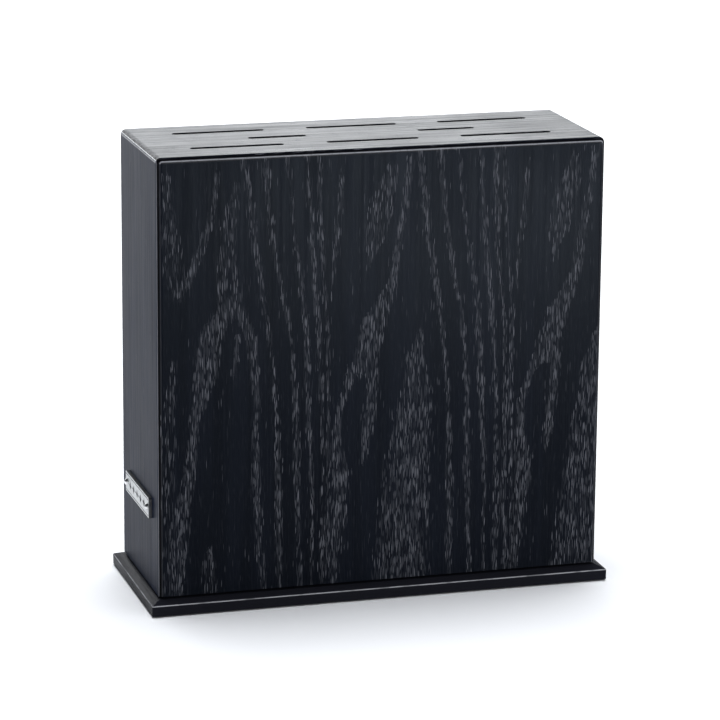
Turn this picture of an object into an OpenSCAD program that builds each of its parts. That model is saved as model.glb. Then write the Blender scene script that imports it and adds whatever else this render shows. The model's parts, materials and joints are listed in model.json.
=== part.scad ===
// Knife block: a mitred, veneered case round a core of boards and spacer strips,
// screwed to a chamfered base board. The strips leave eight blade channels, each
// under a routed slot in the top.
//
// Frame: origin on the floor under the middle of the block, +Z up, front towards -Y,
// badge on the -X side. Millimetres.

/* [Case] */
// Width of the case, side to side
body_w = 280; // [230:1:340]
// Depth of the case, front to back
body_d = 100; // [82:1:120]
// Height of the case above its foot
body_h = 270; // [200:1:330]
// Thickness of a case panel without its veneer
panel_t = 12; // [9:0.1:15]
// Thickness of a veneer leaf
veneer_t = 0.6; // [0.4:0.01:0.8]
// Radius of every arris of the case
arris_r = 3.5; // [2.8:0.1:6]

/* [Slots] */
// Length of a long slot in the top
long_slot_l = 57.5; // [30:0.5:69]
// Length of a short slot in the top
short_slot_l = 36; // [20:0.5:50]
// Width of every slot
slot_w = 4.5; // [4.3:0.1:7]
// How far a blade channel stands clear of its slot, on each side and at each end
channel_relief = 0.5; // [0.2:0.1:1]
// Thickness of the core boards that line the front and the back panel
outer_board_t = 11; // [8:0.1:13]
// Width of the strips between the side panels and the outer long channels
end_strip_w = 13.75; // [8:0.25:16]
// Width of the strip between the two short channels
centre_strip_w = 70; // [50:1:84]

/* [Base] */
// How far the base board reaches past the case all round
base_overhang = 5.5; // [3:0.5:12]
// Height of the base board's upright edge
base_edge_h = 6.7; // [4:0.1:10]
// Rise of the chamfer above the upright edge
chamfer_rise = 2.6; // [2:0.1:6]
// Radius of the arris between the upright edge and the chamfer
base_arris_r = 0.8; // [0.5:0.1:1.2]
// How far the chamfer runs in under the case
chamfer_tuck = 1; // [0.5:0.1:2]
// Height of the shadow gap between the chamfer and the foot of the case
shadow_gap = 1.2; // [0.8:0.1:2.5]
// How far the shadow gap runs in under the case
gap_inset = 4; // [2:0.5:6]

/* [Feet] */
// Diameter of a foot pad
foot_d = 18; // [12:1:24]
// Thickness of a foot pad
foot_t = 1.6; // [1.2:0.1:2.5]
// How far a foot pad stands out of the base
foot_show = 0.6; // [0.4:0.1:1]
// Distance from the edges of the base to the middle of a foot pad
foot_inset = 18; // [14:1:26]

/* [Screws] */
// Diameter of a screw's shank
screw_d = 4; // [3:0.1:5]
// Length of a screw
screw_l = 30; // [22:1:40]
// Diameter of a screw's head
screw_head_d = 8; // [7:0.1:9.5]
// How deep a screw's head sits below the underside of the base
screw_sink = 0.8; // [0.4:0.1:1.5]
// Distance from one screw to the next along the width
screw_pitch = 98; // [70:1:110]
// Radial clearance round a screw where it passes through the base
screw_clear = 0.3; // [0.2:0.05:0.5]
// Width of the cross recess for the driver
driver_w = 1; // [0.6:0.1:1.2]
// Depth of the cross recess for the driver
driver_depth = 1.5; // [0.8:0.1:2]

/* [Badge] */
// Length of the badge plate
badge_l = 64; // [40:1:76]
// Height of the badge plate
badge_h = 13; // [10:0.5:20]
// Thickness of the badge plate
badge_t = 2; // [1.2:0.1:3]
// Radius of the badge plate's corners
badge_corner_r = 1; // [0.5:0.1:3]
// Height of the badge's centre above the foot of the case
badge_rise = 51; // [30:1:200]
// Diameter of a badge pin's domed head
pin_head_d = 4.4; // [3:0.1:6]
// Height of a badge pin's dome
pin_dome_h = 1.9; // [1:0.1:2.1]
// Diameter of a badge pin's shank
pin_d = 1.8; // [1.2:0.1:2.4]
// How deep a badge pin goes into the side of the case
pin_depth = 7; // [4:0.5:10]
// Distance from the end of the plate to the middle of a pin
pin_inset = 4; // [3:0.5:8]

/* [Veneer leaves] */
// Width of a full leaf of veneer
leaf_w = 117; // [90:1:140]
// Distance from the middle of the case to the joint left of it
leaf_joint_x = -33; // [-60:1:-10]

/* [Hidden] */
$fn = 96;
over = 1;                                   // how far a cutting tool runs past what it cuts

base_t = base_edge_h + chamfer_rise + shadow_gap;
body_z = foot_show + base_t;                // foot of the case
top_z = body_z + body_h;                    // finished top of the case
wall_t = panel_t + veneer_t;

cavity_w = body_w - 2 * wall_t;
cavity_d = body_d - 2 * wall_t;
cavity_top_z = top_z - wall_t;

channel_w = slot_w + 2 * channel_relief;    // also the thickness of every strip
long_channel_l = long_slot_l + 2 * channel_relief;
short_channel_l = short_slot_l + 2 * channel_relief;
long_pitch = (cavity_w - long_channel_l) / 2 - end_strip_w;
short_x = (centre_strip_w + short_channel_l) / 2;
row_pitch = (cavity_d - channel_w) / 2 - outer_board_t;

foot_x = body_w / 2 + base_overhang - foot_inset;
foot_y = body_d / 2 + base_overhang - foot_inset;
screw_y = row_pitch / 2;                    // the middle of a middle core board
screw_head_h = (screw_head_d - screw_d) / 2;
badge_z = body_z + badge_rise;
pin_y = badge_l / 2 - pin_inset;

SLOTS = concat(
    [for (x = [-long_pitch, 0, long_pitch], y = [-row_pitch, row_pitch]) [x, y, long_slot_l]],
    [for (x = [-short_x, short_x]) [x, 0, short_slot_l]]);

// ---- helpers ----------------------------------------------------------------------

// A box given by its lowest corner and its highest corner
module span(low, high) {
    translate(low) cube(high - low);
}

// A rectangle centred on the origin with round corners
module round_rect(w, h, r) {
    square([w, h - 2 * r], center = true);
    square([w - 2 * r, h], center = true);
    for (x = [-1, 1], y = [-1, 1])
        translate([x * (w / 2 - r), y * (h / 2 - r)]) circle(r);
}

// A slot's outline, l long and w wide, with full-round ends
module slot_outline(l, w) {
    square([l - w, w], center = true);
    for (x = [-1, 1])
        translate([x * (l - w) / 2, 0]) circle(d = w);
}

// Extrudes an XZ outline along Y, centred on the origin
module along_y(l) {
    translate([0, l / 2, 0]) rotate([90, 0, 0]) linear_extrude(l) children();
}

// Extrudes a YZ outline along X, centred on the origin
module along_x(l) {
    translate([-l / 2, 0, 0]) rotate([90, 0, 90]) linear_extrude(l) children();
}

// The finished outside of the case, with every arris rounded
module case_form() {
    core_x = body_w / 2 - arris_r;
    core_y = body_d / 2 - arris_r;
    core_top = top_z - arris_r;
    translate([0, 0, body_z]) linear_extrude(body_h - arris_r) round_rect(body_w, body_d, arris_r);
    span([-core_x, -core_y, core_top], [core_x, core_y, top_z]);
    for (y = [-core_y, core_y])
        translate([-core_x, y, core_top]) rotate([0, 90, 0]) cylinder(r = arris_r, h = 2 * core_x);
    for (x = [-core_x, core_x]) {
        translate([x, core_y, core_top]) rotate([90, 0, 0]) cylinder(r = arris_r, h = 2 * core_y);
        for (y = [-core_y, core_y])
            translate([x, y, core_top]) sphere(arris_r);
    }
}

// What is left of the case once the veneers are peeled off its faces
module bare_case_form() {
    intersection() {
        case_form();
        span([-body_w / 2 + veneer_t, -body_d / 2 + veneer_t, body_z],
             [body_w / 2 - veneer_t, body_d / 2 - veneer_t, top_z - veneer_t]);
    }
}

// Outline of a mitred panel: wide edge on y = 0, narrowing at 45 degrees over depth t
module mitre_outline(w, t) {
    polygon([[-w / 2, 0], [w / 2, 0], [w / 2 - t, t], [-w / 2 + t, t]]);
}

// Every slot, cut right down through the top
module slot_cuts() {
    for (s = SLOTS)
        translate([s[0], s[1], cavity_top_z - over])
            linear_extrude(wall_t + 2 * over) slot_outline(s[2], slot_w);
}

// ---- case panels ------------------------------------------------------------------

// Front panel; mirrored for the back
module front_or_back_panel(side) {
    mirror([0, side > 0 ? 1 : 0, 0])
        intersection() {
            bare_case_form();
            translate([0, -body_d / 2, body_z]) linear_extrude(body_h) mitre_outline(body_w, wall_t);
            translate([0, 0, body_z])
                along_x(body_w)
                    polygon([[-body_d / 2, 0], [-body_d / 2, body_h],
                             [-body_d / 2 + wall_t, body_h - wall_t], [-body_d / 2 + wall_t, 0]]);
        }
}

// Left panel; mirrored for the right
module side_panel(side) {
    mirror([side > 0 ? 1 : 0, 0, 0])
        intersection() {
            bare_case_form();
            translate([-body_w / 2, 0, body_z])
                rotate(-90)
                    linear_extrude(body_h) mitre_outline(body_d, wall_t);
            translate([0, 0, body_z])
                along_y(body_d)
                    polygon([[-body_w / 2, 0], [-body_w / 2, body_h],
                             [-body_w / 2 + wall_t, body_h - wall_t], [-body_w / 2 + wall_t, 0]]);
        }
}

module front_panel() {
    color([0.07, 0.07, 0.08]) front_or_back_panel(-1);
}

module back_panel() {
    color([0.07, 0.07, 0.08]) front_or_back_panel(1);
}

module left_panel() {
    color([0.07, 0.07, 0.08])
        difference() {
            side_panel(-1);
            pin_bores();
        }
}

module right_panel() {
    color([0.07, 0.07, 0.08]) side_panel(1);
}

module top_panel() {
    color([0.07, 0.07, 0.08])
        difference() {
            intersection() {
                bare_case_form();
                translate([0, 0, top_z]) along_y(body_d) mirror([0, 1]) mitre_outline(body_w, wall_t);
                translate([0, 0, top_z]) along_x(body_w) mirror([0, 1]) mitre_outline(body_d, wall_t);
            }
            slot_cuts();
        }
}

// ---- veneers ----------------------------------------------------------------------

// Leaf of face veneer from x0 to x1 on the front (side -1) or the back (side 1)
module face_leaf(side, x0, x1) {
    color([0.13, 0.14, 0.17])
        intersection() {
            case_form();
            mirror([0, side > 0 ? 1 : 0, 0])
                span([x0, -body_d / 2, body_z], [x1, -body_d / 2 + veneer_t, top_z]);
        }
}

// Veneer on the left (side -1) or the right (side 1)
module side_leaf(side) {
    color([0.28, 0.29, 0.33])
        intersection() {
            case_form();
            mirror([side > 0 ? 1 : 0, 0, 0])
                span([-body_w / 2, -body_d / 2, body_z], [-body_w / 2 + veneer_t, body_d / 2, top_z]);
        }
}

module front_veneer_left() {
    face_leaf(-1, -body_w / 2, leaf_joint_x);
}

module front_veneer_middle() {
    face_leaf(-1, leaf_joint_x, leaf_joint_x + leaf_w);
}

module front_veneer_right() {
    face_leaf(-1, leaf_joint_x + leaf_w, body_w / 2);
}

module back_veneer_left() {
    face_leaf(1, -body_w / 2, leaf_joint_x);
}

module back_veneer_middle() {
    face_leaf(1, leaf_joint_x, leaf_joint_x + leaf_w);
}

module back_veneer_right() {
    face_leaf(1, leaf_joint_x + leaf_w, body_w / 2);
}

module left_veneer() {
    difference() {
        side_leaf(-1);
        pin_bores();
    }
}

module right_veneer() {
    side_leaf(1);
}

module top_veneer() {
    color([0.55, 0.56, 0.6])
        difference() {
            intersection() {
                case_form();
                span([-body_w / 2, -body_d / 2, top_z - veneer_t], [body_w / 2, body_d / 2, top_z]);
            }
            slot_cuts();
        }
}

// ---- slotted core -----------------------------------------------------------------

// Full-width core board from y0 to y1
module core_board(y0, y1) {
    color([0.1, 0.09, 0.09])
        span([-cavity_w / 2, y0, body_z], [cavity_w / 2, y1, cavity_top_z]);
}

module core_board_front() {
    core_board(-cavity_d / 2, -row_pitch - channel_w / 2);
}

module core_board_mid_front() {
    difference() {
        core_board(-row_pitch + channel_w / 2, -channel_w / 2);
        screw_pilots();
    }
}

module core_board_mid_back() {
    difference() {
        core_board(channel_w / 2, row_pitch - channel_w / 2);
        screw_pilots();
    }
}

module core_board_back() {
    core_board(row_pitch + channel_w / 2, cavity_d / 2);
}

// Spacer strip from x0 to x1 in the row centred on y
module strip(y, x0, x1) {
    color([0.12, 0.11, 0.1])
        span([x0, y - channel_w / 2, body_z], [x1, y + channel_w / 2, cavity_top_z]);
}

// The strips of a row of long channels: 0 is the left end strip, 3 the right one
module long_row_strip(y, i) {
    edges = concat([-cavity_w / 2],
                   [for (x = [-long_pitch, 0, long_pitch], s = [-1, 1]) x + s * long_channel_l / 2],
                   [cavity_w / 2]);
    strip(y, edges[2 * i], edges[2 * i + 1]);
}

module front_strip_left() {
    long_row_strip(-row_pitch, 0);
}

module front_strip_mid_left() {
    long_row_strip(-row_pitch, 1);
}

module front_strip_mid_right() {
    long_row_strip(-row_pitch, 2);
}

module front_strip_right() {
    long_row_strip(-row_pitch, 3);
}

module back_strip_left() {
    long_row_strip(row_pitch, 0);
}

module back_strip_mid_left() {
    long_row_strip(row_pitch, 1);
}

module back_strip_mid_right() {
    long_row_strip(row_pitch, 2);
}

module back_strip_right() {
    long_row_strip(row_pitch, 3);
}

module middle_strip_left() {
    strip(0, -cavity_w / 2, -short_x - short_channel_l / 2);
}

module middle_strip_centre() {
    strip(0, -centre_strip_w / 2, centre_strip_w / 2);
}

module middle_strip_right() {
    strip(0, short_x + short_channel_l / 2, cavity_w / 2);
}

// ---- base -------------------------------------------------------------------------

// Section through the base, half the case's width out from the middle: an upright edge,
// a round arris, and a chamfer that rises to a little way in under the case
module base_section(half) {
    reach = half + base_overhang;
    run = base_overhang + chamfer_tuck;
    slope = atan(chamfer_rise / run);
    arris_x = reach - base_arris_r;
    arris_z = base_edge_h + base_arris_r * (tan(slope) - 1 / cos(slope));
    cut_x = arris_x + base_arris_r * sin(slope);
    cut_z = arris_z + base_arris_r * cos(slope);
    polygon([[-reach, 0], [reach, 0], [reach, arris_z], [cut_x, cut_z],
             [reach - run, base_edge_h + chamfer_rise], [run - reach, base_edge_h + chamfer_rise],
             [-cut_x, cut_z], [-reach, arris_z]]);
    for (x = [-arris_x, arris_x])
        translate([x, arris_z]) circle(base_arris_r);
}

module base_board() {
    color([0.08, 0.08, 0.1])
        difference() {
            translate([0, 0, foot_show])
                union() {
                    intersection() {
                        along_y(body_d + 2 * base_overhang) base_section(body_w / 2);
                        along_x(body_w + 2 * base_overhang) base_section(body_d / 2);
                    }
                    span([gap_inset - body_w / 2, gap_inset - body_d / 2, base_edge_h],
                         [body_w / 2 - gap_inset, body_d / 2 - gap_inset, base_t]);
                }
            foot_recesses();
            screw_clearances();
        }
}

// Places a copy at each foot pad
module at_feet() {
    for (x = [-1, 1], y = [-1, 1])
        translate([x * foot_x, y * foot_y, 0]) children();
}

module foot_recesses() {
    at_feet() translate([0, 0, foot_show - over]) cylinder(d = foot_d, h = foot_t - foot_show + over);
}

module foot_pads() {
    color([0.09, 0.09, 0.09]) at_feet() cylinder(d = foot_d, h = foot_t);
}

// ---- screws -----------------------------------------------------------------------

// Places a copy at each base screw, at the outer face of its head
module at_screws() {
    for (x = [-1, 0, 1], y = [-1, 1])
        translate([x * screw_pitch, y * screw_y, foot_show + screw_sink]) children();
}

module screw_clearances() {
    at_screws() {
        translate([0, 0, -screw_sink - over]) cylinder(d = screw_head_d, h = screw_sink + over);
        cylinder(d1 = screw_head_d, d2 = screw_d, h = screw_head_h);
        cylinder(r = screw_d / 2 + screw_clear, h = base_t);
    }
}

module screw_pilots() {
    at_screws() cylinder(d = screw_d, h = screw_l);
}

module base_screws() {
    color([0.75, 0.72, 0.6])
        at_screws()
            difference() {
                union() {
                    cylinder(d1 = screw_head_d, d2 = screw_d, h = screw_head_h);
                    cylinder(d = screw_d, h = screw_l);
                }
                for (turn = [0, 90])
                    rotate(turn)
                        span([-screw_d / 2, -driver_w / 2, -over], [screw_d / 2, driver_w / 2, driver_depth]);
            }
}

// ---- badge ------------------------------------------------------------------------

// Places a copy at each badge pin, with +Z pointing out of the side of the case
module at_pins() {
    for (y = [-pin_y, pin_y])
        translate([-body_w / 2, y, badge_z]) rotate([0, -90, 0]) children();
}

module pin_bores() {
    at_pins() translate([0, 0, -pin_depth]) cylinder(d = pin_d, h = pin_depth + badge_t + over);
}

module badge_plate() {
    color([0.75, 0.75, 0.74])
        difference() {
            translate([-body_w / 2, 0, badge_z])
                rotate([90, 0, -90])
                    linear_extrude(badge_t) round_rect(badge_l, badge_h, badge_corner_r);
            pin_bores();
        }
}

// Domed head of a badge pin: the cap of a sphere that is pin_dome_h high
module pin_dome() {
    ball_r = (pow(pin_head_d / 2, 2) + pow(pin_dome_h, 2)) / (2 * pin_dome_h);
    intersection() {
        translate([0, 0, pin_dome_h - ball_r]) sphere(ball_r);
        cylinder(d = pin_head_d, h = pin_dome_h);
    }
}

module badge_pins() {
    color([0.85, 0.85, 0.85])
        at_pins() {
            translate([0, 0, badge_t]) pin_dome();
            translate([0, 0, -pin_depth]) cylinder(d = pin_d, h = pin_depth + badge_t);
        }
}

// ---- nodes ------------------------------------------------------------------------

base_board();
foot_pads();
base_screws();
core_board_front();
core_board_mid_front();
core_board_mid_back();
core_board_back();
front_strip_left();
front_strip_mid_left();
front_strip_mid_right();
front_strip_right();
middle_strip_left();
middle_strip_centre();
middle_strip_right();
back_strip_left();
back_strip_mid_left();
back_strip_mid_right();
back_strip_right();
front_panel();
back_panel();
left_panel();
right_panel();
top_panel();
front_veneer_left();
front_veneer_middle();
front_veneer_right();
back_veneer_left();
back_veneer_middle();
back_veneer_right();
left_veneer();
right_veneer();
top_veneer();
badge_plate();
badge_pins();
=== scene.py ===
"""An upright knife block in black-stained, open-pored veneer.

The case is a box of five mitred panels with every arris rounded and sealed, its faces
covered with thin leaves of veneer. Blade slots in the top lead down between the boards
of the core. The case stands on a chamfered base board, and a small metal badge is pinned
to its left side. Every size is in metres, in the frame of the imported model.
"""

from __future__ import annotations

import json
import logging
import math
from collections.abc import Sequence
from dataclasses import dataclass, replace
from enum import Enum

import bmesh
import bpy
import numpy as np
from mathutils import Matrix, Vector
from mathutils.geometry import delaunay_2d_cdt

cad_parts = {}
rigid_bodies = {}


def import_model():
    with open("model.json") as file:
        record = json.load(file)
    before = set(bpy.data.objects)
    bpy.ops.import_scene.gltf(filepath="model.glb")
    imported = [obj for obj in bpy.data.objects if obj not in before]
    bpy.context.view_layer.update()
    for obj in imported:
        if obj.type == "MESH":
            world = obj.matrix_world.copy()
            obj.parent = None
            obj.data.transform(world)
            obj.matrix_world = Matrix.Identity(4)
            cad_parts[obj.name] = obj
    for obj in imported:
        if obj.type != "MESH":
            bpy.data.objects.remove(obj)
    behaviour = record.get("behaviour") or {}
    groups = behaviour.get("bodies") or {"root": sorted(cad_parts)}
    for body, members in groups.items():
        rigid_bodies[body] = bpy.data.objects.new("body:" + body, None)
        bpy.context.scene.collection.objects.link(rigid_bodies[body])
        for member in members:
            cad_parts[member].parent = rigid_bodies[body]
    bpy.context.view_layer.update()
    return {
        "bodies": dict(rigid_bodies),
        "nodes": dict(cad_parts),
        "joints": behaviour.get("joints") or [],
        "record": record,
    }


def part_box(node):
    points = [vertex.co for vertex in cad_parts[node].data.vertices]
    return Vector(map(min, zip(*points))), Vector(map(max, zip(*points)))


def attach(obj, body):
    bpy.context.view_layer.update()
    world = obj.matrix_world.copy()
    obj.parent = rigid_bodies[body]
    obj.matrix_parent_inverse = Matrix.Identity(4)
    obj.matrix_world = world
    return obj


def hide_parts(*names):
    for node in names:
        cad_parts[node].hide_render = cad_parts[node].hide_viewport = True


LOG = logging.getLogger("knife_block")
MM = 0.001
WELD = 2e-7
SHARP = math.radians(35.0)
FLAT_WEIGHT = 80
BODY = "root"

Pair = tuple[float, float]
Triple = tuple[float, float, float]
Colour = tuple[float, float, float, float]
Material = bpy.types.Material
Piece = bpy.types.Object
Socket = bpy.types.NodeSocket
Tree = bpy.types.NodeTree


# ---- faces of the case ----


class Face(Enum):
    """A face of the block: its direction to the right, its upward and its outward one."""

    FRONT = ((1, 0, 0), (0, 0, 1), (0, -1, 0))
    BACK = ((-1, 0, 0), (0, 0, 1), (0, 1, 0))
    LEFT = ((0, -1, 0), (0, 0, 1), (-1, 0, 0))
    RIGHT = ((0, 1, 0), (0, 0, 1), (1, 0, 0))
    TOP = ((1, 0, 0), (0, 1, 0), (0, 0, 1))
    UNDER = ((-1, 0, 0), (0, 1, 0), (0, 0, -1))


@dataclass(frozen=True)
class FaceFrame:
    """Turns a face's own coordinates (across, up, depth) into places in the block's frame.

    Depth is measured inwards from the finished surface.
    """

    face: Face
    origin: Triple

    def place(self, points: np.ndarray) -> np.ndarray:
        """Maps face coordinates to places: origin + across * right + up * up - depth * outward.

        Args:
            points: Array whose last axis is (across, up, depth).

        Returns:
            The places, in an array of the same shape.
        """
        right, up, outward = (np.array(v, float) for v in self.face.value)
        return np.array(self.origin) + points @ np.stack([right, up, -outward])


# ---- mesh building ----


def with_depth(flat: np.ndarray, depth: float | np.ndarray) -> np.ndarray:
    """Adds a depth column to an array of (across, up) points."""
    return np.concatenate([flat, np.broadcast_to(np.asarray(depth)[..., None], flat.shape[:-1] + (1,))], -1)


def inside(points: np.ndarray, loop: np.ndarray) -> np.ndarray:
    """Says which points lie inside a closed loop, by the even-odd rule.

    Args:
        points: (n, 2) points to test.
        loop: (m, 2) corners of the loop.

    Returns:
        (n,) booleans.
    """
    a, b = loop, np.roll(loop, -1, axis=0)
    x, y = points[:, 0:1], points[:, 1:2]
    crosses = (a[:, 1] > y) != (b[:, 1] > y)
    rise = np.where(b[:, 1] == a[:, 1], 1.0, b[:, 1] - a[:, 1])
    at = a[:, 0] + (y - a[:, 1]) / rise * (b[:, 0] - a[:, 0])
    return (crosses & (x < at)).sum(1) % 2 == 1


class Draft:
    """Gathers a piece's surfaces in face coordinates and makes one closed, welded mesh."""

    def __init__(self) -> None:
        """Starts with no points and no faces."""
        self.points: list[np.ndarray] = []
        self.faces: list[tuple[np.ndarray, int]] = []
        self.size = 0

    def _add(self, points: np.ndarray, faces: np.ndarray, slot: int) -> None:
        """Appends points and the faces that index them, dressed in a material slot."""
        self.points.append(points.reshape(-1, 3))
        self.faces.append((faces + self.size, slot))
        self.size += len(self.points[-1])

    def grid(self, grid: np.ndarray, closed: bool = False, slot: int = 0) -> None:
        """Adds a grid of points as quads; closed joins its last column to its first.

        Args:
            grid: (rows, columns, 3) points.
            closed: Whether each row is a loop.
            slot: Material slot of the quads.
        """
        rows, cols = grid.shape[:2]
        index = np.arange(rows * cols).reshape(rows, cols)
        if closed:
            index = np.concatenate([index, index[:, :1]], 1)
        quads = np.stack([index[:-1, :-1], index[:-1, 1:], index[1:, 1:], index[1:, :-1]], -1)
        self._add(grid, quads.reshape(-1, 4), slot)

    def rings(self, rings: list[np.ndarray], slot: int = 0) -> None:
        """Skins a stack of closed loops that all have the same number of points."""
        self.grid(np.stack(rings), closed=True, slot=slot)

    def cap(self, loop: np.ndarray, holes: Sequence[np.ndarray] = (), slot: int = 0) -> None:
        """Fills a flat loop, less its holes, with a constrained Delaunay triangulation.

        Args:
            loop: (n, 3) points at one depth.
            holes: Loops to leave open, at the same depth.
            slot: Material slot of the triangles.
        """
        loops = [self._clean(part) for part in (loop, *holes)]
        points = np.concatenate(loops)
        ends = np.cumsum([0] + [len(part) for part in loops])
        edges = [(a, a + 1 if a + 1 < high else low)
                 for low, high in zip(ends[:-1], ends[1:]) for a in range(low, high)]
        flat = [Vector(p[:2]) for p in points]
        made, _, triangles, *_ = delaunay_2d_cdt(flat, edges, [], 0, WELD)
        spots = np.array([tuple(v) for v in made])
        triangles = np.array(triangles)
        middle = spots[triangles].mean(1)
        keep = inside(middle, loops[0][:, :2])
        for hole in loops[1:]:
            keep &= ~inside(middle, hole[:, :2])
        self._add(with_depth(spots, loop[0, 2]), triangles[keep], slot)

    def turned(self, section: Sequence[Pair], sides: int, centre: Pair) -> None:
        """Adds a closed solid of revolution.

        Args:
            section: Its (radius, depth) from one cap to the other.
            sides: Points round it.
            centre: Place of its axis.
        """
        rings = [circle(radius, sides, depth, centre) for radius, depth in section]
        self.rings(rings)
        self.cap(rings[0])
        self.cap(rings[-1])

    @staticmethod
    def _clean(loop: np.ndarray) -> np.ndarray:
        """Drops the points of a loop that repeat the one before them."""
        return loop[np.linalg.norm(loop - np.roll(loop, 1, axis=0), axis=1) > WELD]

    def make(self, name: str, frame: FaceFrame, values: dict[str, np.ndarray] | None = None) -> Piece:
        """Welds the points, drops collapsed faces and makes the mesh, faces outwards.

        Args:
            name: Name of the piece.
            frame: The face whose coordinates the points are in.
            values: Per-point values, in the order the points were added, kept as attributes.

        Returns:
            The new object.
        """
        points = np.concatenate(self.points)
        _, first, back = np.unique(np.round(points / WELD / 5).astype(np.int64), axis=0,
                                   return_index=True, return_inverse=True)
        back = back.reshape(-1)
        faces, slots = [], []
        for block, slot in self.faces:
            for face in back[block].tolist():
                corners = [v for i, v in enumerate(face) if v != face[i - 1]]
                if len(set(corners)) == len(corners) > 2:
                    faces.append(corners)
                    slots.append(slot)
        mesh = bpy.data.meshes.new(name)
        mesh.from_pydata(frame.place(points[first]).tolist(), [], faces)
        mesh.polygons.foreach_set("material_index", slots)
        for key, value in (values or {}).items():
            kept = mesh.attributes.new(key, "FLOAT", "POINT").data
            kept.foreach_set("value", value[first].astype(np.float32))
        turned = bmesh.new()
        turned.from_mesh(mesh)
        bmesh.ops.recalc_face_normals(turned, faces=turned.faces)
        turned.to_mesh(mesh)
        turned.free()
        mesh.validate()
        piece = bpy.data.objects.new(name, mesh)
        bpy.context.scene.collection.objects.link(piece)
        return piece


def smooth(piece: Piece) -> None:
    """Shades a piece smooth but for its sharp edges, with face-weighted normals."""
    piece.data.shade_smooth()
    piece.data.set_sharp_from_angle(angle=SHARP)
    weighted = piece.modifiers.new("face weighted", "WEIGHTED_NORMAL")
    weighted.keep_sharp = True
    weighted.weight = FLAT_WEIGHT


def finish_piece(piece: Piece, slot: str, materials: list[Material], *nodes: str) -> None:
    """Dresses a new piece, lets it ride and stands it in for CAD nodes.

    Args:
        piece: The new object.
        slot: Material slot of the record; not used.
        materials: One material per material index of the mesh.
        nodes: CAD nodes that the piece replaces.
    """
    for material in materials:
        piece.data.materials.append(material)
    smooth(piece)
    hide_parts(*nodes)
    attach(piece, BODY)
    LOG.info("%s: %d faces, stands in for %s", piece.name, len(piece.data.polygons), ", ".join(nodes))


def circle(radius: float, points: int, depth: float, centre: Pair = (0.0, 0.0)) -> np.ndarray:
    """Loop of a circle: centre + radius * (cos, sin) of evenly spaced angles."""
    turn = np.linspace(0.0, 2.0 * math.pi, points, endpoint=False)
    flat = np.array(centre) + radius * np.stack([np.cos(turn), np.sin(turn)], -1)
    return with_depth(flat, depth)


def round_box(half: Pair, radius: float, steps: int, depth: float) -> np.ndarray:
    """Loop of a rectangle with round corners: each corner a quarter circle of that radius.

    Args:
        half: Half its width and half its height.
        radius: Radius of the corners.
        steps: Segments in each corner.
        depth: Depth of the loop.

    Returns:
        (4 * (steps + 1), 3) points, anticlockwise.
    """
    quarter = np.linspace(0.0, math.pi / 2.0, steps + 1)
    parts = []
    for corner, (sx, sy) in enumerate(((1, 1), (-1, 1), (-1, -1), (1, -1))):
        turn = quarter + corner * math.pi / 2.0
        middle = np.array([sx * (half[0] - radius), sy * (half[1] - radius)])
        parts.append(middle + radius * np.stack([np.cos(turn), np.sin(turn)], -1))
    return with_depth(np.concatenate(parts), depth)


def quarter_round(radius: float, points: int = 5) -> list[Pair]:
    """Section of a round edge, as (inset, depth): radius * (1 - sin a, 1 - cos a)."""
    turn = np.linspace(0.0, math.pi / 2.0, points)
    return [(radius * (1.0 - math.sin(a)), radius * (1.0 - math.cos(a))) for a in turn]


# ---- figure of the veneer ----


def ease(x: np.ndarray) -> np.ndarray:
    """Smooth step: 0 below 0, 1 above 1 and 3x^2 - 2x^3 between."""
    x = np.clip(x, 0.0, 1.0)
    return x * x * (3.0 - 2.0 * x)


@dataclass(frozen=True)
class PoreBand:
    """A growth ring's early wood where a leaf cuts it, as a wandering band of open pores.

    Each station is (down, across, half width) in millimetres, from the top of the leaf
    and from its left joint. The band runs straight from one station to the next.
    """

    stations: tuple[Triple, ...]
    richness: float = 1.0
    fade: float = 5.0

    def density(self, across: np.ndarray, down: np.ndarray) -> np.ndarray:
        """Density of pores: richness * (1 - (distance / half width)^4), and 0 off the ends."""
        at = np.array(self.stations)
        middle = np.interp(down, at[:, 0], at[:, 1])
        half = np.interp(down, at[:, 0], at[:, 2])
        off = np.abs(across - middle) / half
        starts = ease((down - at[0, 0]) / self.fade + 1.0)
        ends = ease((at[-1, 0] - down) / self.fade + 1.0)
        return self.richness * (starts * ends) * np.clip(1.0 - off ** 4, 0.0, 1.0)


@dataclass(frozen=True)
class RingLegs:
    """The rings at the right of a leaf, which run down side by side and lean together.

    Every leg goes from its own start at the top to its own end at the foot, and all share
    one lean: share(down) of the way across.
    """

    starts: tuple[float, ...]
    ends: tuple[float, ...]
    half_width: float = 1.9
    lean_down: tuple[float, ...] = (0.0, 50.0, 80.0, 105.0, 125.0, 155.0, 190.0, 272.0)
    lean_share: tuple[float, ...] = (0.0, 0.26, 0.48, 0.68, 0.77, 0.86, 0.92, 1.0)

    def density(self, across: np.ndarray, down: np.ndarray) -> np.ndarray:
        """Greatest density over the legs, each swelling and thinning slowly on its way down."""
        share = np.interp(down, self.lean_down, self.lean_share)
        found = np.zeros_like(across)
        for leg, (start, end) in enumerate(zip(self.starts, self.ends)):
            middle = start + (end - start) * share + 0.5 * np.sin(down / 23.0 + 2.1 * leg)
            half = self.half_width * (1.0 + 0.3 * np.sin(down / 31.0 + 1.7 * leg)) - 0.08 * leg
            found = np.maximum(found, np.clip(1.0 - (np.abs(across - middle) / half) ** 4, 0.0, 1.0))
        return found


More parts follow.
